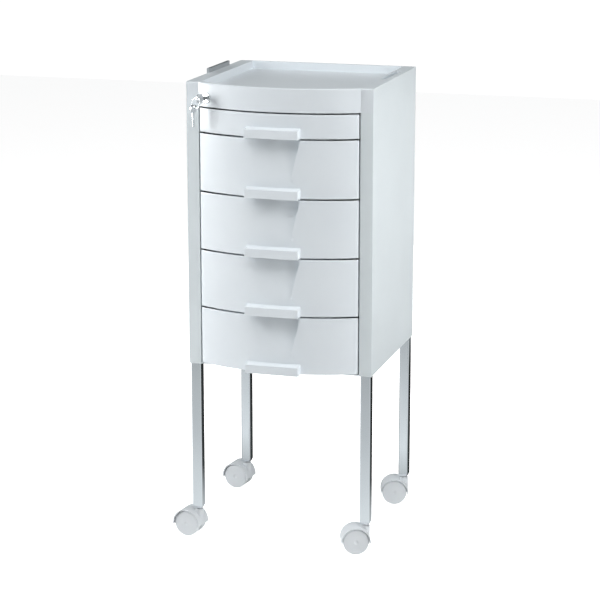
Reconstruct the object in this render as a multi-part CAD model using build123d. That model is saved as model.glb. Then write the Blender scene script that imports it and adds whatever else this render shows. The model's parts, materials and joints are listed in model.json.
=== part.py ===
from build123d import *
from math import atan2, cos, radians, sin, sqrt
import os

# Rolling salon trolley: a bow-fronted drawer cabinet on four square legs with twin-wheel casters.
# Millimetres, +Z up, front towards -Y, floor at z = 0.

# ---- driving sizes ----
cabinet_width = 362
cabinet_depth = 330       # face of the front posts to the back
cabinet_base = 352        # underside of the cabinet above the floor
apron_height = 45         # front of the top moulding
small_front = 45          # height of the top drawer's front
large_front = 109         # height of the other fronts
large_drawers = 4
front_gap = 3             # between one front and the next
base_gap = 4              # lowest front to the cabinet's underside
post_width = 24
bow_rise = 38             # how far the fronts bulge ahead of the posts
sheet = 2                 # steel panels
wall = 3                  # mouldings

# ---- top moulding ----
rim_side = 26
rim_front = 9
rim_back = 5
tray_depth = 15
pocket_width = 10         # accessory pocket in the right rim
pocket_length = 130
pocket_depth = 12
pocket_inset = 12         # outer side of the cabinet to the pocket
pocket_start = 130        # behind the post face

# ---- drawer fronts ----
front_play = 2.7          # front to post, each side
front_return = 10         # how far a front reaches back past the post face
lip_width = 104
lip_height = 18
lip_reach = 14            # ahead of the bow's middle
cove = 11                 # hollow fillet over the lip
recess_top = 96           # width of the finger recess at the top edge
recess_foot = 64          # and at its lower end
recess_height = 70
recess_depth = 14

# ---- drawer boxes and slides ----
box_width = 280
box_depth = 305
box_wall = 2
box_lift = 6              # box underside above the front's lower edge
box_headroom = 6          # box rim below the front's upper edge
rail_height = 26
rail_web = 1.5
rail_lip_x = 146          # inner edge of a rail's lips
rail_length = 300
slide_play = 1            # slide to rail, above and below

# ---- legs and casters ----
leg_size = 20
leg_wall = 1.5
leg_inset = 2             # leg to the outer faces of the cabinet
foot_gap = 12             # top of the wheels to the lower end of the tube
leg_reach = 120           # length inside the cabinet
rivet_lifts = (50, 95)    # leg rivets above the cabinet's underside
rivet_head = 4.5          # radius
wheel_radius = 25
wheel_width = 14
web_width = 8
hood_gap = 1.2            # wheel to hood
hood_wall = 2.3
hood_width = 42
trail = 19.5
axle_radius = 3
stem_radius = 4
boss_gap = 3.5            # top of the wheels to the top of the stem boss
# Wheel headings at rest, in degrees about +Z; at 0 the wheel trails straight towards -X.
headings = {"front_left": -8, "front_right": 20, "rear_left": -8, "rear_right": 15}

# ---- lock ----
lock_x = -138
lock_drop = 28            # lock centre below the top
barrel_radius = 8
barrel_length = 26
bolt_travel = 8           # how far the lock bar drops
key_bow = 19
key_hole = 5.3            # ring hole from the middle of the bow
spare_scale = 0.85

# ---- accessory rail ----
rail_rise = 9
rail_span = 122
rail_start = 126          # behind the post face

clear = 0.4               # running play round turning pieces

# ---- derived sizes ----
cabinet_height = (
    apron_height + small_front + large_drawers * large_front + (large_drawers + 1) * front_gap + base_gap
)
cabinet_top = cabinet_base + cabinet_height
half_width = cabinet_width / 2
front_y = -cabinet_depth / 2
back_y = cabinet_depth / 2
opening = half_width - post_width
apron_base = cabinet_top - apron_height
bow_radius = (opening**2 + bow_rise**2) / (2 * bow_rise)
bow_centre_y = front_y - bow_rise + bow_radius
apex_y = front_y - bow_rise
post_depth = leg_size + leg_inset + sheet
hood_radius = wheel_radius + hood_gap + hood_wall
boss_top = 2 * wheel_radius + boss_gap
leg_foot = 2 * wheel_radius + foot_gap
stem_base = wheel_radius + 8
back_flange = leg_inset + leg_size / 2 - rivet_head - 0.5
leg_x = half_width - leg_inset - leg_size / 2
leg_y = cabinet_depth / 2 - leg_inset - leg_size / 2

front_heights = [small_front] + [large_front] * large_drawers
front_bases = []
level = apron_base
for height in front_heights:
    level -= front_gap + height
    front_bases.append(level)


def block(x0, x1, y0, y1, z0, z1):
    """Box between two corners."""
    return Pos((x0 + x1) / 2, (y0 + y1) / 2, (z0 + z1) / 2) * Box(abs(x1 - x0), abs(y1 - y0), abs(z1 - z0))


def rod(start, direction, radius, length):
    """Round bar from a point along a direction."""
    plane = Plane(origin=start, z_dir=direction)
    return extrude(plane * Circle(radius), length)


def bow_y(x, inset=0):
    """Front surface of the bow at a distance from the middle, moved back by an inset."""
    return bow_centre_y - sqrt((bow_radius - inset) ** 2 - x**2)


def bow_plan(half, back, inset=0):
    """Plan outline with a bowed front edge, straight sides and a straight back."""
    front = bow_y(half, inset)
    arc = ThreePointArc((-half, front), (0, bow_y(0, inset)), (half, front))
    sides = Polyline((half, front), (half, back), (-half, back), (-half, front))
    return make_face(Wire([arc, *sides.edges()]))


def prism(face, z0, z1):
    return extrude(Pos(0, 0, z0) * face, z1 - z0, dir=(0, 0, 1))


def mirrored_x(shape):
    return mirror(shape, about=Plane.YZ)


# ---- cabinet shell ----
def side_panel():
    """Right-hand panel, folded into a channel round each leg."""
    x_out = half_width
    x_in = opening
    panel = block(x_out - sheet, x_out, front_y + wall, back_y, cabinet_base, cabinet_top)
    panel += block(x_out - sheet, x_out, front_y, front_y + wall, cabinet_base, apron_base)
    panel += block(x_in, x_out, front_y, front_y + sheet, cabinet_base, apron_base)
    panel += block(x_in, x_out, back_y - sheet, back_y, cabinet_base, cabinet_top)
    for y0, y1 in ((front_y, front_y + post_depth), (back_y - post_depth, back_y)):
        panel += block(x_in, x_in + sheet, y0, y1, cabinet_base, apron_base)
    edges = panel.edges().filter_by(Axis.Z).filter_by_position(Axis.X, x_out - 0.1, x_out + 0.1)
    panel = fillet(edges.filter_by_position(Axis.Y, back_y - 0.1, back_y + 0.1), 1.5)
    for y in (-leg_y, leg_y):
        for lift in rivet_lifts:
            panel -= rod((x_in - 1, y, cabinet_base + lift), (1, 0, 0), 2.5, sheet + 2)
    return panel


def back_panel():
    panel = block(-opening, opening, back_y - sheet, back_y, cabinet_base, cabinet_top)
    for side in (-1, 1):
        x = side * opening
        panel += block(x - side * sheet, x, back_y - back_flange, back_y, cabinet_base + sheet, apron_base)
    return panel


def bottom_panel():
    inner_x = half_width - sheet
    inner_y = back_y - post_depth
    panel = block(-opening, opening, front_y + sheet, back_y - sheet, cabinet_base, cabinet_base + sheet)
    panel += block(-inner_x, inner_x, -inner_y, inner_y, cabinet_base, cabinet_base + sheet)
    for side in (-1, 1):
        panel += block(
            side * (inner_x - sheet), side * inner_x, -inner_y, inner_y, cabinet_base, cabinet_base + 12
        )
    return panel


def top_moulding():
    """Tray, rims and bowed apron in one moulding, hollow underneath."""
    inner_x = half_width - sheet
    inner_back = back_y - sheet
    body = prism(bow_plan(opening, front_y + wall), apron_base, cabinet_top)
    body += block(-half_width, half_width, front_y, front_y + wall, apron_base, cabinet_top)
    body += block(-inner_x, inner_x, front_y + wall, inner_back, apron_base, cabinet_top)
    rim_edges = body.edges().filter_by_position(Axis.Z, cabinet_top - 0.01, cabinet_top + 0.01)
    body = fillet(rim_edges.filter_by_position(Axis.Y, apex_y - 1, front_y + 0.1), 2.5)

    hollow = prism(bow_plan(opening - wall, front_y + wall, wall), apron_base, cabinet_top - wall)
    hollow += block(
        -(inner_x - wall), inner_x - wall, front_y + wall, inner_back - wall, apron_base, cabinet_top - wall
    )
    body -= hollow

    tray_half = half_width - rim_side
    tray_back = back_y - rim_back
    floor_z = cabinet_top - tray_depth
    tub = prism(bow_plan(tray_half + wall, tray_back, rim_front - wall), floor_z - wall, cabinet_top - 1)
    tub += block(-tray_half, tray_half, tray_back - wall, inner_back, floor_z - wall, cabinet_top - 1)
    body += tub
    tray = extrude(
        Pos(0, 0, cabinet_top + 1) * bow_plan(tray_half, tray_back, rim_front),
        tray_depth + 1,
        dir=(0, 0, -1),
        taper=5,
    )
    body -= tray

    pocket_x1 = half_width - pocket_inset
    pocket_x0 = pocket_x1 - pocket_width
    pocket_y0 = front_y + pocket_start
    pocket_y1 = pocket_y0 + pocket_length
    body += block(
        pocket_x0 - 2, pocket_x1 + 2, pocket_y0 - 2, pocket_y1 + 2, cabinet_top - pocket_depth - 2, cabinet_top - 1
    )
    pocket = block(pocket_x0, pocket_x1, pocket_y0, pocket_y1, cabinet_top - pocket_depth, cabinet_top + 1)
    body -= fillet(pocket.edges().filter_by(Axis.Z), pocket_width / 2 - 0.5)

    # flat seat and bore for the lock, square to the bowed front
    seat = rod(lock_point(-0.3), lock_out, 10.4, 5)
    bore = rod(lock_point(-8), lock_out, barrel_radius + 0.1, 14)
    return body - seat - bore


# ---- drawers ----
def finger_recess(top_z, extra=0):
    """Cutter for the recess at the upper edge; extra enlarges it by a wall thickness."""
    ahead = apex_y - lip_reach - 20

    def section(z, width, depth):
        half = width / 2 + extra
        back = apex_y + depth + extra
        return Plane.XY.offset(z) * make_face(
            Polyline((-half, ahead), (half, ahead), (half, back), (-half, back), close=True)
        )

    head = section(top_z, recess_top, recess_depth)
    foot = section(top_z - recess_height, recess_foot, -0.5)
    cutter = loft([head, foot])
    corners = cutter.edges().filter_by_position(Axis.Y, apex_y - 1, apex_y + recess_depth + extra + 1)
    corners = corners.filter_by(lambda e: abs(e.tangent_at(0.5).Z) > 0.8)
    return fillet(corners, 6 + extra)


def drawer_front(base_z, height, recessed):
    """Hollow moulded front with its pull lip; the back is open for the box."""
    half = opening - front_play
    back = front_y + front_return
    top_z = base_z + height
    lip_y = apex_y - lip_reach
    outer = prism(bow_plan(half, back), base_z, top_z)
    inner = prism(bow_plan(half - wall, back + 1, wall), base_z + wall, top_z - wall)
    if recessed:
        outer -= finger_recess(top_z)
        inner -= finger_recess(top_z, wall)
    body = outer - inner

    # pull lip with a cove above it, hollow underneath for the fingertips
    lip_top = base_z + lip_height
    profile = make_face(
        Wire(
            [
                *Polyline(
                    (lip_y + 3, lip_top),
                    (lip_y, lip_top),
                    (lip_y, base_z),
                    (apex_y + wall + 2, base_z),
                    (apex_y + wall + 2, lip_top + cove),
                    (apex_y, lip_top + cove),
                ).edges(),
                RadiusArc((apex_y, lip_top + cove), (lip_y + 3, lip_top), cove),
            ]
        )
    )
    lip = extrude(Plane.YZ.offset(-lip_width / 2) * profile, lip_width)
    lip -= prism(bow_plan(half - 1, back + 1, wall), base_z - 1, top_z + 1)
    lip -= block(
        -lip_width / 2 + wall, lip_width / 2 - wall, lip_y + wall, apex_y - 0.5, base_z - 1, lip_top - wall
    )
    body += lip

    # screw bosses for the box
    for side in (-1, 1):
        x = side * 0.75 * box_width / 2
        z = base_z + height / 2
        boss = rod((x, front_y, z), (0, -1, 0), 5, front_y - bow_y(x, wall) + 1)
        body += boss & prism(bow_plan(half, back), base_z, top_z)
        body -= rod((x, front_y + 1, z), (0, -1, 0), 1.6, 11)
    return body


def drawer_box(base_z, height):
    """Base, two sides, front wall and back wall as separate panels, and the catch for the lock bar."""
    half = box_width / 2
    z0 = base_z + box_lift
    z1 = base_z + height - box_headroom
    floor_top = z0 + box_wall
    rear = front_y + box_depth
    front_wall = block(-half + box_wall, half - box_wall, front_y, front_y + box_wall, floor_top, z1)
    for side in (-1, 1):
        x = side * 0.75 * half
        front_wall -= rod((x, front_y - 1, base_z + height / 2), (0, 1, 0), 2.1, box_wall + 2)
    panels = [
        block(-half, half, front_y, rear, z0, floor_top),
        block(-half, -half + box_wall, front_y, rear, floor_top, z1),
        block(half - box_wall, half, front_y, rear, floor_top, z1),
        block(-half + box_wall, half - box_wall, rear - box_wall, rear, floor_top, z1),
        block(-half - 8, -half, lug_y, lug_y + 8, base_z + lug_lift, base_z + lug_lift + 4.5),
        front_wall,
    ]
    return Compound([panel.solid() for panel in panels])


def drawer_screws(base_z, height):
    screws = Part()
    for side in (-1, 1):
        x = side * 0.75 * box_width / 2
        z = base_z + height / 2
        screws += rod((x, front_y + box_wall, z), (0, 1, 0), 3.6, 2)
        screws += rod((x, front_y + box_wall, z), (0, -1, 0), 1.5, 10)
    return screws


def channel(x_web, x_lip, thickness, y0, y1, z_mid, half_height):
    """Pair of mirrored C-channels standing on edge, web at x_web and lips reaching to x_lip."""
    towards = 1 if x_lip > x_web else -1
    pair = Part()
    web = block(x_web, x_web + towards * thickness, y0, y1, z_mid - half_height, z_mid + half_height)
    lower = block(x_web, x_lip, y0, y1, z_mid - half_height, z_mid - half_height + thickness)
    upper = block(x_web, x_lip, y0, y1, z_mid + half_height - thickness, z_mid + half_height)
    right = web + lower + upper
    pair += right
    pair += mirrored_x(right)
    return pair


def fixed_rails(base_z):
    y0 = front_y + front_return + 3
    z_mid = base_z + box_lift + rail_height / 2
    return channel(opening, rail_lip_x, rail_web, y0, y0 + rail_length, z_mid, rail_height / 2)


def drawer_slides(base_z):
    y0 = front_y + front_return + 4
    z_mid = base_z + box_lift + rail_height / 2
    half_height = rail_height / 2 - rail_web - slide_play
    reach = opening - rail_web - 0.7
    return channel(box_width / 2, reach, rail_web, y0, front_y + box_depth - 10, z_mid, half_height)


# ---- legs ----
def leg(x, y):
    top = cabinet_base + leg_reach
    height = top - leg_foot
    outer = Box(leg_size, leg_size, height)
    outer = fillet(outer.edges().filter_by(Axis.Z), 3)
    bore = leg_size - 2 * leg_wall
    inner = Box(bore, bore, height + 2)
    inner = fillet(inner.edges().filter_by(Axis.Z), 1.5)
    tube = Pos(x, y, (top + leg_foot) / 2) * (outer - inner)
    inward = -1 if x > 0 else 1
    for lift in rivet_lifts:
        tube -= rod((x + inward * leg_size, y, cabinet_base + lift), (-inward, 0, 0), 2.5, leg_size)
    return tube


def leg_plug(x, y):
    """Plug in the foot of a leg, tapered below the tube and bored for the stem."""
    bore = leg_size - 2 * leg_wall - 0.2
    insert = Box(bore, bore, 22, align=(Align.CENTER, Align.CENTER, Align.MIN))
    insert = fillet(insert.edges().filter_by(Axis.Z), 1.4)
    square = fillet(Rectangle(leg_size, leg_size).vertices(), 3)
    foot = extrude(square, 5, dir=(0, 0, -1), taper=25)
    plug = insert + foot - Pos(0, 0, -6) * Cylinder(
        stem_radius, 26, align=(Align.CENTER, Align.CENTER, Align.MIN)
    )
    return Pos(x, y, leg_foot) * plug


def caster_stem(x, y):
    height = leg_foot + 20 - stem_base
    return Pos(x, y, stem_base) * Cylinder(stem_radius, height, align=(Align.CENTER, Align.CENTER, Align.MIN))


# ---- casters, built with the stem axis at the origin and the wheel trailing towards -X ----
def caster_hood():
    axle_plane = Plane(origin=(-trail, 0, wheel_radius), z_dir=(0, -1, 0))
    ring = axle_plane * (Circle(hood_radius) - Circle(wheel_radius + hood_gap))
    cover = extrude(ring, hood_width / 2, both=True)
    web = extrude(axle_plane * Circle(hood_radius - 1), web_width / 2, both=True)
    hood = cover + web
    hood -= block(-trail - 40, -trail + 40, -40, 40, -10, wheel_radius - 3)
    boss_base = stem_base - 3
    hood += Pos(0, 0, boss_base) * Cylinder(
        8.5, boss_top - boss_base, align=(Align.CENTER, Align.CENTER, Align.MIN)
    )
    hood -= caster_wheel_space()
    hood -= Pos(0, 0, stem_base - 1) * Cylinder(
        stem_radius + clear, 30, align=(Align.CENTER, Align.CENTER, Align.MIN)
    )
    hood += rod((-trail, web_width / 2, wheel_radius), (0, -1, 0), axle_radius + 3, web_width)
    hood -= rod((-trail, 30, wheel_radius), (0, -1, 0), axle_radius + clear, 60)
    return hood


def caster_wheel_space():
    """Room for the two wheels inside the hood."""
    space = Part()
    for side in (-1, 1):
        start = (-trail, side * (web_width / 2 + 0.01), wheel_radius)
        space += rod(start, (0, side, 0), wheel_radius + hood_gap, hood_width)
    return space


def caster_wheels():
    """Two domed discs joined by nothing but the axle."""
    wheels = Part()
    for side in (-1, 1):
        y0 = web_width / 2 + 0.8
        disc = rod((-trail, side * y0, wheel_radius), (0, side, 0), wheel_radius, wheel_width)
        disc = fillet(disc.edges().filter_by(GeomType.CIRCLE), 2)
        dimple = Pos(-trail, side * (y0 + wheel_width + 10), wheel_radius) * Sphere(11)
        disc -= dimple
        disc -= rod((-trail, 0, wheel_radius), (0, side, 0), axle_radius, y0 + 9)
        wheels += disc
    return wheels


def caster_axle():
    half = web_width / 2 + 0.8 + 8.5
    return rod((-trail, half, wheel_radius), (0, -1, 0), axle_radius, 2 * half)


# ---- lock and keys ----
lock_angle = atan2(-lock_x, bow_centre_y - bow_y(lock_x))
lock_out = (-sin(lock_angle), -cos(lock_angle), 0)
lock_side = (-cos(lock_angle), sin(lock_angle), 0)
lock_z = cabinet_top - lock_drop
crank_radius = bolt_travel / 2 / sin(radians(45))
lug_y = front_y + 32
lug_lift = 34             # catch above the front's lower edge
bar_x = opening + sheet + 1
bar_y = lug_y - 3


def lock_point(out, side=0, up=0):
    """Point in the lock's own directions: out of the front, to the left along it, and up."""
    return (
        lock_x + out * lock_out[0] + side * lock_side[0],
        bow_y(lock_x) + out * lock_out[1] + side * lock_side[1],
        lock_z + up,
    )


lock_in = (-lock_out[0], -lock_out[1], 0)
lock_faces_out = Plane(origin=lock_point(0), x_dir=(-lock_side[0], -lock_side[1], 0), z_dir=lock_out)


def lock_barrel():
    flange = rod(lock_point(-0.3), lock_out, 9.8, 2.3)
    flange = fillet(flange.edges().sort_by(lambda e: (e.center() - Vector(*lock_point(2))).length)[0], 1)
    body = flange + rod(lock_point(-0.3), lock_in, barrel_radius, barrel_length)
    return body - rod(lock_point(5), lock_in, 5.5 + clear, barrel_length + 10)


def lock_nut():
    nut = rod(lock_point(-wall - 0.6), lock_in, 9.8, 4)
    return nut - rod(lock_point(0), lock_in, barrel_radius + 0.1, 20)


def lock_plug():
    plug = rod(lock_point(1.6), lock_in, 5.5, barrel_length + 3)
    slot = extrude(lock_faces_out.offset(2) * Rectangle(2.6, 7.4), -20)
    return plug - slot


def lock_cam():
    """Crank disc on the plug; its pin drives the lock bar."""
    depth = -(barrel_length + 1.4)
    disc = rod(lock_point(depth), lock_in, 8, 2)
    pin_side = -crank_radius * cos(radians(45))
    pin = rod(lock_point(depth - 2, pin_side, bolt_travel / 2), lock_in, 2, 7)
    return disc + pin


def key_shape():
    """Key seen flat: round bow round the origin's far side, blade back along -X."""
    bow = Pos(0, 0) * Circle(key_bow / 2)
    blade = Pos(-key_bow / 2 - 14, 0) * Rectangle(32, 6)
    collar = Pos(-key_bow / 2 - 1, 0) * Rectangle(6, 8.5)
    for notch in (0, 1, 2):
        blade -= Pos(-key_bow / 2 - 29 + notch * 5, 3.4) * Circle(1.3)
    return bow + blade + collar - Pos(key_hole, 0) * Circle(3)


def key_in_lock():
    plane = Plane(origin=lock_point(key_bow / 2 + 8.5), x_dir=lock_out, z_dir=lock_side)
    key = extrude(plane * key_shape(), 1.1, both=True)
    return key - rod(lock_point(-17.5), lock_in, 6, 20)


ring_radius = 9.5
ring_tilt = 32            # ring centre from straight below the key's hole
spare_tilt = 45           # spare key round the ring from straight below its centre
hang_out = key_bow / 2 + 8.5 + key_hole
hang_point = lock_point(hang_out)
ring_side = ring_radius * sin(radians(ring_tilt))
ring_drop = ring_radius * cos(radians(ring_tilt))
spare_side = ring_side + ring_radius * sin(radians(spare_tilt))
spare_drop = ring_drop + ring_radius * cos(radians(spare_tilt))


def key_ring():
    centre = lock_point(hang_out, ring_side, -ring_drop)
    return Plane(origin=centre, z_dir=lock_out) * Torus(ring_radius, 0.85)


def spare_key():
    origin = lock_point(hang_out, spare_side, -spare_drop - key_hole * spare_scale)
    plane = Plane(origin=origin, x_dir=(0, 0, 1), z_dir=lock_side)
    return extrude(plane * scale(key_shape(), spare_scale), 1, both=True)


def lock_bar():
    """Vertical bar in the left side with an ear ahead of each drawer's catch and an arm to the lock."""
    ear = 5
    rest_lift = lug_lift + 4.5 + 2
    foot = front_bases[-1] + rest_lift - 12
    arm_z = lock_z + bolt_travel / 2
    bar = block(-bar_x - sheet, -bar_x, bar_y, bar_y + 14, foot, arm_z + 4.5)
    for base_z in front_bases:
        z0 = base_z + rest_lift
        bar += block(-bar_x - 0.5, -box_width / 2 - 3, bar_y, bar_y + 2, z0, z0 + ear)
    # arm square to the lock's axis, with a slot for the crank pin
    depth = -(barrel_length + 5.4)
    reach_side = (-bar_x - sheet / 2 - lock_point(depth)[0]) / lock_side[0]
    arm_plane = Plane(origin=lock_point(depth, 0, bolt_travel / 2), x_dir=lock_side, z_dir=lock_in)
    arm_length = reach_side + 14
    arm = extrude(arm_plane * Pos(reach_side - arm_length / 2, 0) * Rectangle(arm_length, 9), 2)
    slot_half = 2 + 0.35
    slot = SlotOverall(2 * (crank_radius + slot_half) - 4, 2 * slot_half)
    arm -= extrude(arm_plane * Pos(-crank_radius + 1, 0) * slot, 2)
    return bar + arm


def lock_bar_guides():
    """Two clips on the side panel that keep the bar upright."""
    guides = Part()
    outer_x = -(half_width - sheet)
    for index in (1, 4):
        z0 = front_bases[index] + large_front - 30
        clip = block(outer_x, -bar_x + 2.4, bar_y - 2.5, bar_y + 16.5, z0, z0 + 14)
        clip -= block(outer_x + 2, -bar_x + 0.4, bar_y - 0.4, bar_y + 14.4, z0 - 1, z0 + 15)
        guides += clip
    return guides


# ---- accessory rail on the left rim ----
def accessory_rail():
    x_out = -half_width - 2.6
    y0 = front_y + rail_start
    head = block(x_out, -half_width + 3, y0, y0 + rail_span, cabinet_top, cabinet_top + rail_rise)
    head = fillet(head.edges().filter_by(Axis.Y).sort_by(Axis.Z)[-2:], 1)
    skirt = block(x_out, -half_width, y0, y0 + rail_span, cabinet_top - 28, cabinet_top + 1)
    rail = head + skirt
    for y in (y0 + 20, y0 + rail_span - 20):
        rail -= rod((x_out - 1, y, cabinet_top - 20), (1, 0, 0), 2.5, 5)
    return rail


def rivet(start, direction, grip):
    """Flat-headed rivet; start is the face the head sits on."""
    back = tuple(-c for c in direction)
    return rod(start, back, rivet_head, 1.3) + rod(start, direction, 2.4, grip)


def rivets():
    group = Part()
    for x_side in (-1, 1):
        for y in (-leg_y, leg_y):
            for lift in rivet_lifts:
                start = (x_side * opening, y, cabinet_base + lift)
                group += rivet(start, (x_side, 0, 0), sheet + leg_wall + 2)
    y0 = front_y + rail_start
    for y in (y0 + 20, y0 + rail_span - 20):
        group += rivet((-half_width - 2.6, y, cabinet_top - 20), (1, 0, 0), 2.5)
    return group


parts = {
    "side_right": side_panel(),
    "side_left": mirrored_x(side_panel()),
    "back_panel": back_panel(),
    "bottom_panel": bottom_panel(),
    "top_moulding": top_moulding(),
    "rivets": rivets(),
    "accessory_rail": accessory_rail(),
    "lock_barrel": lock_barrel(),
    "lock_nut": lock_nut(),
    "lock_plug": lock_plug(),
    "lock_cam": lock_cam(),
    "lock_bar": lock_bar(),
    "lock_bar_guides": lock_bar_guides(),
    "key": key_in_lock(),
    "key_ring": key_ring(),
    "spare_key": spare_key(),
}

for number, (base_z, height) in enumerate(zip(front_bases, front_heights), start=1):
    parts[f"drawer_{number}_front"] = drawer_front(base_z, height, number > 1)
    parts[f"drawer_{number}_box"] = drawer_box(base_z, height)
    parts[f"drawer_{number}_slides"] = drawer_slides(base_z)
    parts[f"drawer_{number}_screws"] = drawer_screws(base_z, height)
    parts[f"rails_{number}"] = fixed_rails(base_z)

plugs = Part()
stems = Part()
for place, heading in headings.items():
    x = leg_x if place.endswith("right") else -leg_x
    y = leg_y if place.startswith("rear") else -leg_y
    spot = Pos(x, y, 0) * Rot(0, 0, heading)
    parts[f"leg_{place}"] = leg(x, y)
    parts[f"hood_{place}"] = spot * caster_hood()
    parts[f"wheels_{place}"] = spot * caster_wheels()
    parts[f"axle_{place}"] = spot * caster_axle()
    plugs += leg_plug(x, y)
    stems += caster_stem(x, y)
parts["leg_plugs"] = plugs
parts["caster_stems"] = stems

# The frame's origin is the middle of the footprint: the casters trail past the left side and the
# lips stand ahead of the bow.
wheel_left = leg_x + trail + hood_radius + 3
rear_reach = leg_y + hood_width / 2 + 4
centre_x = (half_width - wheel_left) / 2
centre_y = (rear_reach + apex_y - lip_reach) / 2

os.makedirs("parts", exist_ok=True)
for name, shape in parts.items():
    export_step(Pos(-centre_x, -centre_y, 0) * shape, f"parts/{name}.step")
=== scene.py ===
import json
import math

import bmesh
import bpy
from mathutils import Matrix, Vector


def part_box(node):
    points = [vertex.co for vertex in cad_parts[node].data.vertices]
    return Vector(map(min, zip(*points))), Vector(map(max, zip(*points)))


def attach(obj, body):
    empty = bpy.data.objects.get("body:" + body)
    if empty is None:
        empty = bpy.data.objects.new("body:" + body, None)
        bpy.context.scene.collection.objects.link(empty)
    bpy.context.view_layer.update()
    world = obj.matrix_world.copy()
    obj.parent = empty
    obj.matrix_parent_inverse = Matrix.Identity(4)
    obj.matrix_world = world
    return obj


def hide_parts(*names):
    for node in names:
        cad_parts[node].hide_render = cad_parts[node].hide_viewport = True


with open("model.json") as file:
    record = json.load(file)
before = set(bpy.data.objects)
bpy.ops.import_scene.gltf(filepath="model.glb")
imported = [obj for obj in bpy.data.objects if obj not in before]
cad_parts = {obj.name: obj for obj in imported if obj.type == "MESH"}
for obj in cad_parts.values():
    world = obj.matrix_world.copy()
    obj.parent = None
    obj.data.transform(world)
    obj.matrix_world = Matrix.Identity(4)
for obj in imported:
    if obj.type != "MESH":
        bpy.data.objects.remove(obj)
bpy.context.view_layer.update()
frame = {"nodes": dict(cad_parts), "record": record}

# ---- sizes, in metres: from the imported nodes, and a few the same as the CAD's ----
SIDE_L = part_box("side_left")
SIDE_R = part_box("side_right")
MID_X = (SIDE_L[0].x + SIDE_R[1].x) / 2
HALF_W = (SIDE_R[1].x - SIDE_L[0].x) / 2
FRONT_Y = SIDE_R[0].y
POST = 0.024              # width of the front post beside the drawers
OPENING = HALF_W - POST
BOW_RISE = 0.038
BOW_R = (OPENING**2 + BOW_RISE**2) / (2 * BOW_RISE)
BOW_CY = FRONT_Y - BOW_RISE + BOW_R
APEX_Y = FRONT_Y - BOW_RISE
WALL = 0.003
DRAWERS = range(1, 6)


def smooth(t):
    """Soft step from 0 to 1."""
    t = min(1.0, max(0.0, t))
    return t * t * (3 - 2 * t)


def bow_y(x):
    """Place of the bowed front's face at x."""
    return BOW_CY - math.sqrt(BOW_R**2 - (x - MID_X) ** 2)


# ---- materials ----
COLOUR_SCALE = 9          # noise scale of the colour patches in plastic
COLOUR_DETAIL = 5
GRAIN_DETAIL = 3
GRAIN_HEIGHT = 0.0005
COAT_ROUGH = 0.12


def nodes_of(name):
    mat = bpy.data.materials.new(name)
    mat.use_nodes = True
    tree = mat.node_tree
    return mat, tree.nodes, tree.links, tree.nodes["Principled BSDF"]


def add_detail(nodes, links, shader, scale, colours, roughs, bump, grain):
    """Fine noise in colour, roughness and height, in object space."""
    where = nodes.new("ShaderNodeTexCoord")
    noise = nodes.new("ShaderNodeTexNoise")
    noise.inputs["Scale"].default_value = scale
    noise.inputs["Detail"].default_value = COLOUR_DETAIL
    links.new(where.outputs["Object"], noise.inputs["Vector"])
    tint = nodes.new("ShaderNodeValToRGB")
    for stop, place, colour in zip(tint.color_ramp.elements, (0.3, 0.7), colours):
        stop.position = place
        stop.color = (*colour, 1)
    links.new(noise.outputs["Fac"], tint.inputs["Fac"])
    links.new(tint.outputs["Color"], shader.inputs["Base Color"])
    rough = nodes.new("ShaderNodeMapRange")
    rough.inputs["To Min"].default_value, rough.inputs["To Max"].default_value = roughs
    links.new(noise.outputs["Fac"], rough.inputs["Value"])
    links.new(rough.outputs["Result"], shader.inputs["Roughness"])
    fine = nodes.new("ShaderNodeTexNoise")
    fine.inputs["Scale"].default_value = grain
    fine.inputs["Detail"].default_value = GRAIN_DETAIL
    links.new(where.outputs["Object"], fine.inputs["Vector"])
    height = nodes.new("ShaderNodeBump")
    height.inputs["Strength"].default_value = bump
    height.inputs["Distance"].default_value = GRAIN_HEIGHT
    links.new(fine.outputs["Fac"], height.inputs["Height"])
    links.new(height.outputs["Normal"], shader.inputs["Normal"])


def plastic(name, dark, light, rough, coat=0.0, grain=900, bump=0.05):
    """Moulded or coated surface with a fine grain."""
    mat, nodes, links, shader = nodes_of(name)
    add_detail(nodes, links, shader, COLOUR_SCALE, (dark, light), (rough - 0.03, rough + 0.04), bump, grain)
    shader.inputs["Specular IOR Level"].default_value = 0.5
    shader.inputs["Coat Weight"].default_value = coat
    shader.inputs["Coat Roughness"].default_value = COAT_ROUGH
    return mat


def metal(name, dark, light, roughs, scale, bump, grain):
    """Bare or plated metal with slight changes of colour and polish."""
    mat, nodes, links, shader = nodes_of(name)
    shader.inputs["Metallic"].default_value = 1.0
    add_detail(nodes, links, shader, scale, (dark, light), roughs, bump, grain)
    return mat


MOULDING = plastic("white_moulding", (0.755, 0.805, 0.845), (0.785, 0.835, 0.87), 0.34, 0.25)
PANEL = plastic("white_panel", (0.74, 0.80, 0.825), (0.77, 0.83, 0.855), 0.38, 0.2, 1400, 0.08)
BOX = plastic("box_plastic", (0.56, 0.58, 0.59), (0.61, 0.63, 0.64), 0.5, 0.0, 700, 0.12)
SLIDE = plastic("slide_enamel", (0.60, 0.61, 0.62), (0.65, 0.66, 0.67), 0.42, 0.1)
CASTER = plastic("caster_plastic", (0.67, 0.70, 0.725), (0.72, 0.75, 0.775), 0.32, 0.15)
CHROME = metal("chrome", (0.74, 0.76, 0.79), (0.80, 0.82, 0.84), (0.06, 0.11), 6, 0.01, 300)
CHROME_TRIM = metal("chrome_trim", (0.78, 0.79, 0.80), (0.84, 0.85, 0.86), (0.08, 0.14), 60, 0.02, 900)
STEEL = metal("steel", (0.46, 0.46, 0.47), (0.56, 0.56, 0.57), (0.25, 0.36), 40, 0.05, 2500)
PIN = metal("axle_steel", (0.14, 0.14, 0.15), (0.20, 0.20, 0.21), (0.35, 0.45), 60, 0.04, 2500)
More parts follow.
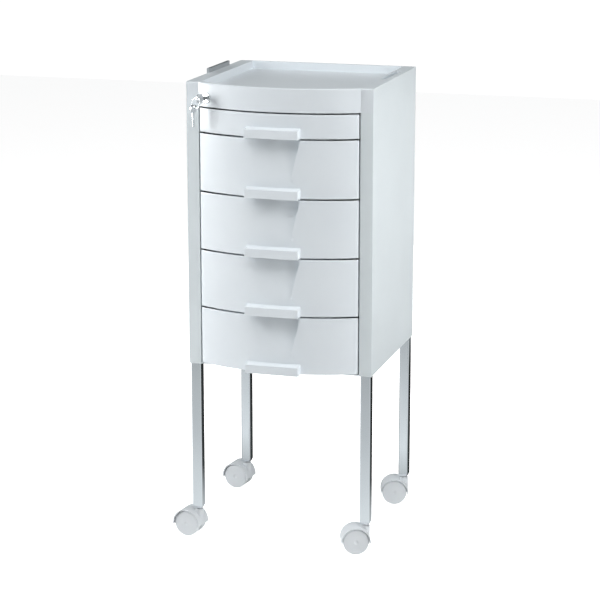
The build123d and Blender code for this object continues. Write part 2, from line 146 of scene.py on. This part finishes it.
ALUMINIUM = metal("aluminium", (0.62, 0.63, 0.64), (0.70, 0.71, 0.72), (0.28, 0.36), 25, 0.06, 1800)

LOOKS = {
    "white_moulding": MOULDING, "white_panel": PANEL, "box_plastic": BOX, "slide_steel": SLIDE,
    "chrome": CHROME, "caster_plastic": CASTER, "steel": STEEL, "aluminium": ALUMINIUM,
}


def dress(obj, mat):
    """Give a CAD node one material."""
    obj.data.materials.clear()
    obj.data.materials.append(mat)


SHARP_ANGLE = 40          # degrees; edges sharper than this are rounded or shaded as edges


def soften(obj, width, segments=2):
    """Rounded edges and even shading for a piece."""
    mesh = obj.data
    mesh.polygons.foreach_set("use_smooth", [True] * len(mesh.polygons))
    bevel = obj.modifiers.new("edges", "BEVEL")
    bevel.width = width
    bevel.segments = segments
    bevel.limit_method = "ANGLE"
    bevel.angle_limit = math.radians(SHARP_ANGLE)
    bevel.use_clamp_overlap = True
    bevel.harden_normals = True


def make_piece(name, verts, faces, mat, body, bevel=0.0):
    """A mesh object that rides on a body, with its edges rounded or only shaded as edges."""
    mesh = bpy.data.meshes.new(name)
    mesh.from_pydata(verts, [], faces)
    bm = bmesh.new()
    bm.from_mesh(mesh)
    bmesh.ops.recalc_face_normals(bm, faces=bm.faces)
    bm.to_mesh(mesh)
    bm.free()
    obj = bpy.data.objects.new(name, mesh)
    bpy.context.scene.collection.objects.link(obj)
    mesh.materials.append(mat)
    if bevel:
        soften(obj, bevel)
    else:
        mesh.polygons.foreach_set("use_smooth", [True] * len(mesh.polygons))
        mesh.set_sharp_from_angle(angle=math.radians(SHARP_ANGLE))
    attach(obj, body)
    return obj


# ---- drawer fronts: a bowed moulding with a finger recess, and the pull lip ----
TOP_DRAFT = 0.0045        # how far the upper rim falls towards the back
LIP_HALF = 0.052
LIP_HIGH = 0.0168         # height of the lip's front face
LIP_REACH = 0.014
LIP_COVE = 0.0042         # rise from the lip's upper edge to the front
LIP_LAND = 0.0035         # flat strip behind the lip's upper edge
LIP_ROOT = 0.009          # how far the lip runs in behind the front's face
LIP_BEVEL = 0.0011
CLEARANCE = 0.0006
# Right edge of the finger recess: distance down from the front's upper edge, half width there.
RECESS_EDGE = [
    (0.0, 0.0505), (0.010, 0.0492), (0.020, 0.0470), (0.030, 0.0443), (0.040, 0.0417),
    (0.055, 0.0383), (0.068, 0.0355), (0.076, 0.0350), (0.084, 0.0440), (0.091, 0.0540),
]
RECESS_LEFT = 0.056       # where the fine columns of the mesh begin
RECESS_DEEP = 0.0112
RECESS_HIGH = 0.084
SOFT_WALL = 0.060         # width of the recess's left wall
LEFT_START = 0.001        # how far outside the edge that wall begins
THIN_WALL = 0.0002
WALL_SLOPE = 0.14         # width of the right wall for its depth


def ramp(points, t):
    """Value at t along straight runs between (position, value) pairs."""
    for (t0, v0), (t1, v1) in zip(points, points[1:]):
        if t <= t1:
            return v0 + (v1 - v0) * max(0.0, t - t0) / (t1 - t0)
    return points[-1][1]


def deepest(down):
    """Depth of the finger recess in its middle, at a distance down from the front's upper edge."""
    return RECESS_DEEP * (1 - smooth(down / RECESS_HIGH))


def right_wall(down):
    """Width of the recess's steep right wall."""
    return THIN_WALL + WALL_SLOPE * deepest(down)


def recess_depth(across, down):
    """How far the finger recess sinks, at a place across and down from the front's upper edge."""
    deep = deepest(down)
    wall = right_wall(down)
    right = 1 - smooth((across - ramp(RECESS_EDGE, down) + wall) / wall)
    left = smooth((across + ramp(RECESS_EDGE, down) + LEFT_START) / SOFT_WALL)
    return deep * left * right


def spaced(low, high, count):
    """Evenly spaced places from low to high."""
    return [low + (high - low) * i / (count - 1) for i in range(count)]


EDGE_ROUND = 0.0013       # radius of the front's rounded outline
ROUND_STEPS = [EDGE_ROUND * (1 - math.cos(math.radians(a))) for a in (0, 15, 30, 45, 60, 75)]


def edge_drop(gap):
    """How far the rounded edge falls back, at a distance from the front's outline."""
    if gap >= EDGE_ROUND:
        return 0.0
    return EDGE_ROUND - math.sqrt(EDGE_ROUND**2 - (EDGE_ROUND - max(0.0, gap)) ** 2)


def with_round(places):
    """The places, with close ones at both ends for the rounded edge."""
    first, last = places[0], places[-1]
    margin = 1.2 * EDGE_ROUND
    middle = [p for p in places if first + margin < p < last - margin]
    return [first + d for d in ROUND_STEPS] + middle + [last - d for d in reversed(ROUND_STEPS)]


def columns(half, down):
    """Places across the front, close together in the recess and closest at its right wall."""
    edge = ramp(RECESS_EDGE, down)
    foot = edge - right_wall(down)
    recess = spaced(-RECESS_LEFT, foot, 44) + spaced(foot, edge, 9)[1:]
    return with_round(spaced(-half, -RECESS_LEFT, 12)[:-1] + recess + spaced(edge, half, 22)[1:])


def front_piece(number):
    """Bowed moulding with an inner layer and walls back to its rear rim; drawer 1 has no recess."""
    node = f"drawer_{number}_front"
    low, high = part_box(node)
    half = (high.x - low.x) / 2
    recessed = number > 1
    zs = with_round(spaced(low.z, high.z, 46 if recessed else 8))
    rows = [columns(half, high.z - z) for z in zs]
    verts, faces = [], []
    nx, nz = len(rows[0]), len(zs)
    for inset in (0.0, WALL):
        for z, xs in zip(zs, rows):
            zi = min(high.z - inset, max(low.z + inset, z))
            for x in xs:
                y = bow_y(MID_X + x) + (recess_depth(x, high.z - z) if recessed else 0.0)
                if inset == 0.0:
                    y += edge_drop(min(half - abs(x), z - low.z, high.z - z))
                xi = min(half - inset, max(-half + inset, x))
                verts.append((MID_X + xi, y + inset, zi))
    # outline of the grid, followed round once
    grid = nx * nz
    loop = list(range(nx)) + [j * nx + nx - 1 for j in range(1, nz)]
    loop += [(nz - 1) * nx + i for i in range(nx - 2, -1, -1)] + [j * nx for j in range(nz - 2, 0, -1)]
    for layer in (0, 1):
        for j in range(nz - 1):
            for i in range(nx - 1):
                a = layer * grid + j * nx + i
                faces.append((a, a + 1, a + nx + 1, a + nx))
    rims = []
    for layer in (0, 1):
        start = len(verts)
        for k in loop:
            x, _, z = verts[layer * grid + k]
            verts.append((x, high.y, min(z, high.z - TOP_DRAFT - layer * WALL)))
        rims.append(start)
        for k in range(len(loop)):
            n = (k + 1) % len(loop)
            faces.append((layer * grid + loop[k], layer * grid + loop[n], start + n, start + k))
    for k in range(len(loop)):
        n = (k + 1) % len(loop)
        faces.append((rims[0] + k, rims[0] + n, rims[1] + n, rims[1] + k))
    obj = make_piece(f"front_{number}", verts, faces, MOULDING, f"drawer_{number}")
    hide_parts(node)


def lip_piece(number):
    """Straight pull lip with a rounded upper edge that runs into the front, hollow underneath."""
    z0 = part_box(f"drawer_{number}_front")[0].z
    z1 = z0 + LIP_HIGH
    y0 = APEX_Y - LIP_REACH
    rear = APEX_Y + LIP_ROOT
    land = y0 + LIP_LAND
    curve = [math.radians(90 * i / 10) for i in range(11)]
    stations = spaced(-LIP_HALF, LIP_HALF, 27)
    verts, faces = [], []
    for x in stations:
        end = bow_y(MID_X + x) + CLEARANCE
        row = [(rear, z0), (y0, z0), (y0, z1)]
        row += [(land + (end - land) * math.sin(t), z1 + LIP_COVE * (1 - math.cos(t))) for t in curve]
        row += [(rear, z1 + LIP_COVE)]
        verts += [(MID_X + x, y, z) for y, z in row]
    n = len(verts) // len(stations)
    for s in range(len(stations) - 1):
        for k in range(1, n):
            a = s * n + k
            b = s * n + (k + 1) % n
            faces.append((a, b, b + n, a + n))
    last = (len(stations) - 1) * n
    faces.append(tuple(range(n)))
    faces.append(tuple(last + k for k in range(n - 1, -1, -1)))
    # underside: a frame round a pocket for the fingertips
    px, py0, py1, pz = LIP_HALF - WALL, y0 + WALL, APEX_Y - CLEARANCE, z1 - WALL
    pocket = []
    for z in (z0, pz):
        for x, y in ((-px, py0), (px, py0), (px, py1), (-px, py1)):
            pocket.append(len(verts))
            verts.append((MID_X + x, y, z))
    front_row = [s * n + 1 for s in range(len(stations))]
    rear_row = [s * n for s in range(len(stations))]
    faces.append(tuple(front_row + [pocket[1], pocket[0]]))
    faces.append(tuple(rear_row[::-1] + [pocket[3], pocket[2]]))
    faces.append((front_row[-1], rear_row[-1], pocket[2], pocket[1]))
    faces.append((rear_row[0], front_row[0], pocket[0], pocket[3]))
    for k in range(4):
        m = (k + 1) % 4
        faces.append((pocket[k], pocket[m], pocket[4 + m], pocket[4 + k]))
    faces.append(tuple(pocket[4:]))
    obj = make_piece(f"lip_{number}", verts, faces, MOULDING, f"drawer_{number}", LIP_BEVEL)
    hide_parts(f"drawer_{number}_front")


for number in DRAWERS:
    front_piece(number)
    lip_piece(number)

# ---- the CAD nodes that stay ----
SLOT_OF = {p["node"]: p["material_slot"] for p in frame["record"]["subparts"]}
# Width of the rounded edges, by the first word of a node's name.
EDGES = {
    "side": 0.0006, "back": 0.0004, "bottom": 0.0004, "top": 0.0016, "accessory": 0.0004, "lock": 0.0003,
    "key": 0.0002, "spare": 0.0002, "drawer": 0.0004, "rails": 0.0002, "leg": 0.0004, "hood": 0.0007,
    "wheels": 0.0004, "axle": 0.0003, "caster": 0.0003, "rivets": 0.0003,
}
for name, obj in frame["nodes"].items():
    dress(obj, LOOKS[SLOT_OF[name]])
    if name.startswith(("key", "spare", "lock_barrel", "lock_plug")):
        dress(obj, CHROME_TRIM)
    if name.startswith("axle"):
        dress(obj, PIN)
    soften(obj, EDGES[name.split("_")[0]], 3 if name == "top_moulding" else 2)

# ---- floor and surroundings ----
FLOOR_SIZE = 6.0
FLOOR_GLOW = 0.9          # extra brightness of the floor as the camera sees it
CAMERA_WHITE = 1.05
SOFT_LIGHT = 0.03
TINT = (0.93, 0.99, 1.01)
# Greys that polished metal mirrors, as (place, grey) along one axis.
FLOOR_FROM, FLOOR_TO = -2, 3.5
FLOOR_BANDS = [
    (0.0, 0.50), (0.109, 0.52), (0.207, 0.66), (0.284, 0.84), (0.327, 0.95), (0.371, 0.55),
    (0.4145, 0.05), (0.58, 0.03), (0.67, 0.45), (1.0, 0.8),
]
# World, from behind the camera (0) to beyond the trolley (1).
BACK_BANDS = [(0.0, 0.8), (0.40, 0.9), (0.56, 0.5), (0.75, 0.12), (0.93, 0.15), (0.975, 0.5), (1.0, 0.6)]
# World, from the left (0) to the right (1).
SKY_BANDS = [
    (0.0, 0.75), (0.20, 0.8), (0.30, 0.62), (0.36, 0.74), (0.42, 0.9), (0.47, 0.85), (0.53, 0.3),
    (0.58, 0.05), (0.66, 0.04), (0.72, 0.6), (0.85, 0.95), (1.0, 0.6),
]


def banded(nodes, links, bands, vector, axis, low=-1, high=1):
    """A grey that changes along one axis, from low (0) to high (1)."""
    split = nodes.new("ShaderNodeSeparateXYZ")
    links.new(vector, split.inputs["Vector"])
    spread = nodes.new("ShaderNodeMapRange")
    spread.inputs["From Min"].default_value = low
    spread.inputs["From Max"].default_value = high
    links.new(split.outputs[axis], spread.inputs["Value"])
    greys = nodes.new("ShaderNodeValToRGB")
    stops = greys.color_ramp.elements
    while len(stops) < len(bands):
        stops.new(0.5)
    for stop, (place, grey) in zip(stops, bands):
        stop.position = place
        stop.color = (*(grey * part for part in TINT), 1)
    links.new(spread.outputs["Result"], greys.inputs["Fac"])
    return greys.outputs["Color"]


def mixed(nodes, links, factor, first, second):
    """One shader where factor is 0, the other where it is 1."""
    mix = nodes.new("ShaderNodeMixShader")
    for socket, source in zip(mix.inputs, (factor, first, second)):
        links.new(source, socket)
    return mix.outputs["Shader"]


def floor_piece():
    """White floor, clear from below, with its own greys for polished metal."""
    mesh = bpy.data.meshes.new("floor")
    corners = [(x * FLOOR_SIZE, y * FLOOR_SIZE, 0) for x, y in ((-1, -1), (1, -1), (1, 1), (-1, 1))]
    mesh.from_pydata(corners, [], [(0, 1, 2, 3)])
    obj = bpy.data.objects.new("floor", mesh)
    bpy.context.scene.collection.objects.link(obj)
    mat, nodes, links, shader = nodes_of("studio_floor")
    shader.inputs["Base Color"].default_value = (0.96, 0.96, 0.96, 1)
    shader.inputs["Roughness"].default_value = 0.8
    shader.inputs["Specular IOR Level"].default_value = 0.1
    shader.inputs["Emission Color"].default_value = (1, 1, 1, 1)
    path = nodes.new("ShaderNodeLightPath")
    glow = nodes.new("ShaderNodeMath")
    glow.operation = "MULTIPLY"
    glow.inputs[1].default_value = FLOOR_GLOW
    links.new(path.outputs["Is Camera Ray"], glow.inputs[0])
    links.new(glow.outputs["Value"], shader.inputs["Emission Strength"])
    place = nodes.new("ShaderNodeTexCoord").outputs["Object"]
    mirrored = nodes.new("ShaderNodeEmission")
    greys = banded(nodes, links, FLOOR_BANDS, place, "Y", FLOOR_FROM, FLOOR_TO)
    links.new(greys, mirrored.inputs["Color"])
    above = mixed(
        nodes, links, path.outputs["Is Glossy Ray"], shader.outputs["BSDF"], mirrored.outputs["Emission"]
    )
    below = nodes.new("ShaderNodeBsdfTransparent").outputs["BSDF"]
    backfacing = nodes.new("ShaderNodeNewGeometry").outputs["Backfacing"]
    links.new(mixed(nodes, links, backfacing, above, below), nodes["Material Output"].inputs["Surface"])
    mesh.materials.append(mat)


def surroundings():
    """White to the camera, banded greys to polished metal, a little soft light to the rest."""
    world = bpy.data.worlds.new("studio")
    bpy.context.scene.world = world
    world.use_nodes = True
    nodes, links = world.node_tree.nodes, world.node_tree.links
    soft = nodes["Background"]
    soft.inputs["Color"].default_value = (0.92, 0.97, 1.0, 1)
    soft.inputs["Strength"].default_value = SOFT_LIGHT
    white = nodes.new("ShaderNodeBackground")
    white.inputs["Color"].default_value = (1, 1, 1, 1)
    white.inputs["Strength"].default_value = CAMERA_WHITE
    mirrored = nodes.new("ShaderNodeBackground")
    where = nodes.new("ShaderNodeTexCoord").outputs["Generated"]
    both = nodes.new("ShaderNodeMix")
    both.data_type = "RGBA"
    both.blend_type = "MULTIPLY"
    both.inputs["Factor"].default_value = 1
    links.new(banded(nodes, links, SKY_BANDS, where, "X"), both.inputs[6])
    links.new(banded(nodes, links, BACK_BANDS, where, "Y"), both.inputs[7])
    links.new(both.outputs[2], mirrored.inputs["Color"])
    path = nodes.new("ShaderNodeLightPath")
    unseen = mixed(
        nodes, links, path.outputs["Is Glossy Ray"], soft.outputs["Background"], mirrored.outputs["Background"]
    )
    seen = mixed(nodes, links, path.outputs["Is Camera Ray"], unseen, white.outputs["Background"])
    links.new(seen, nodes["World Output"].inputs["Surface"])


floor_piece()
surroundings()


# ---- lights ----
def area_light(name, place, target, size, power):
    data = bpy.data.lights.new(name, "AREA")
    data.shape = "RECTANGLE"
    data.size, data.size_y = size
    data.energy = power
    obj = bpy.data.objects.new(name, data)
    obj.location = place
    aim = Vector(target) - Vector(place)
    obj.rotation_euler = aim.to_track_quat("-Z", "Y").to_euler()
    bpy.context.scene.collection.objects.link(obj)
    return obj


area_light("left", (-2.3, -0.75, 1.25), (0, 0, 0.6), (0.8, 1.6), 56)
area_light("right", (2.0, -0.9, 1.1), (0, 0, 0.5), (0.9, 1.6), 8)
area_light("side", (1.9, -0.35, 1.2), (0, 0, 0.6), (0.9, 1.6), 19)
area_light("top", (0.5, -1.1, 2.8), (0, 0, 0.6), (2.2, 2.2), 34)
rear = area_light("rear", (0, 2.6, 0.7), (0, 0, 0.55), (0.3, 1.2), 34)
rear.visible_glossy = False
bpy.context.scene.view_settings.view_transform = "Standard"

# ---- camera, at the photo's angle ----
YAW, PITCH = math.radians(16.62), math.radians(13.65)
CAMERA_PLACE = (1.176, -3.882, 1.439)
SENSOR = 36
FOCAL_PIXELS = 2130
IMAGE_PIXELS = 600

camera = bpy.data.cameras.new("camera")
camera.sensor_width = SENSOR
camera.lens = SENSOR * FOCAL_PIXELS / IMAGE_PIXELS
view = bpy.data.objects.new("camera", camera)
bpy.context.scene.collection.objects.link(view)
view.location = CAMERA_PLACE
view.rotation_euler = (math.pi / 2 - PITCH, 0, YAW)
bpy.context.scene.camera = view

bpy.context.view_layer.update()
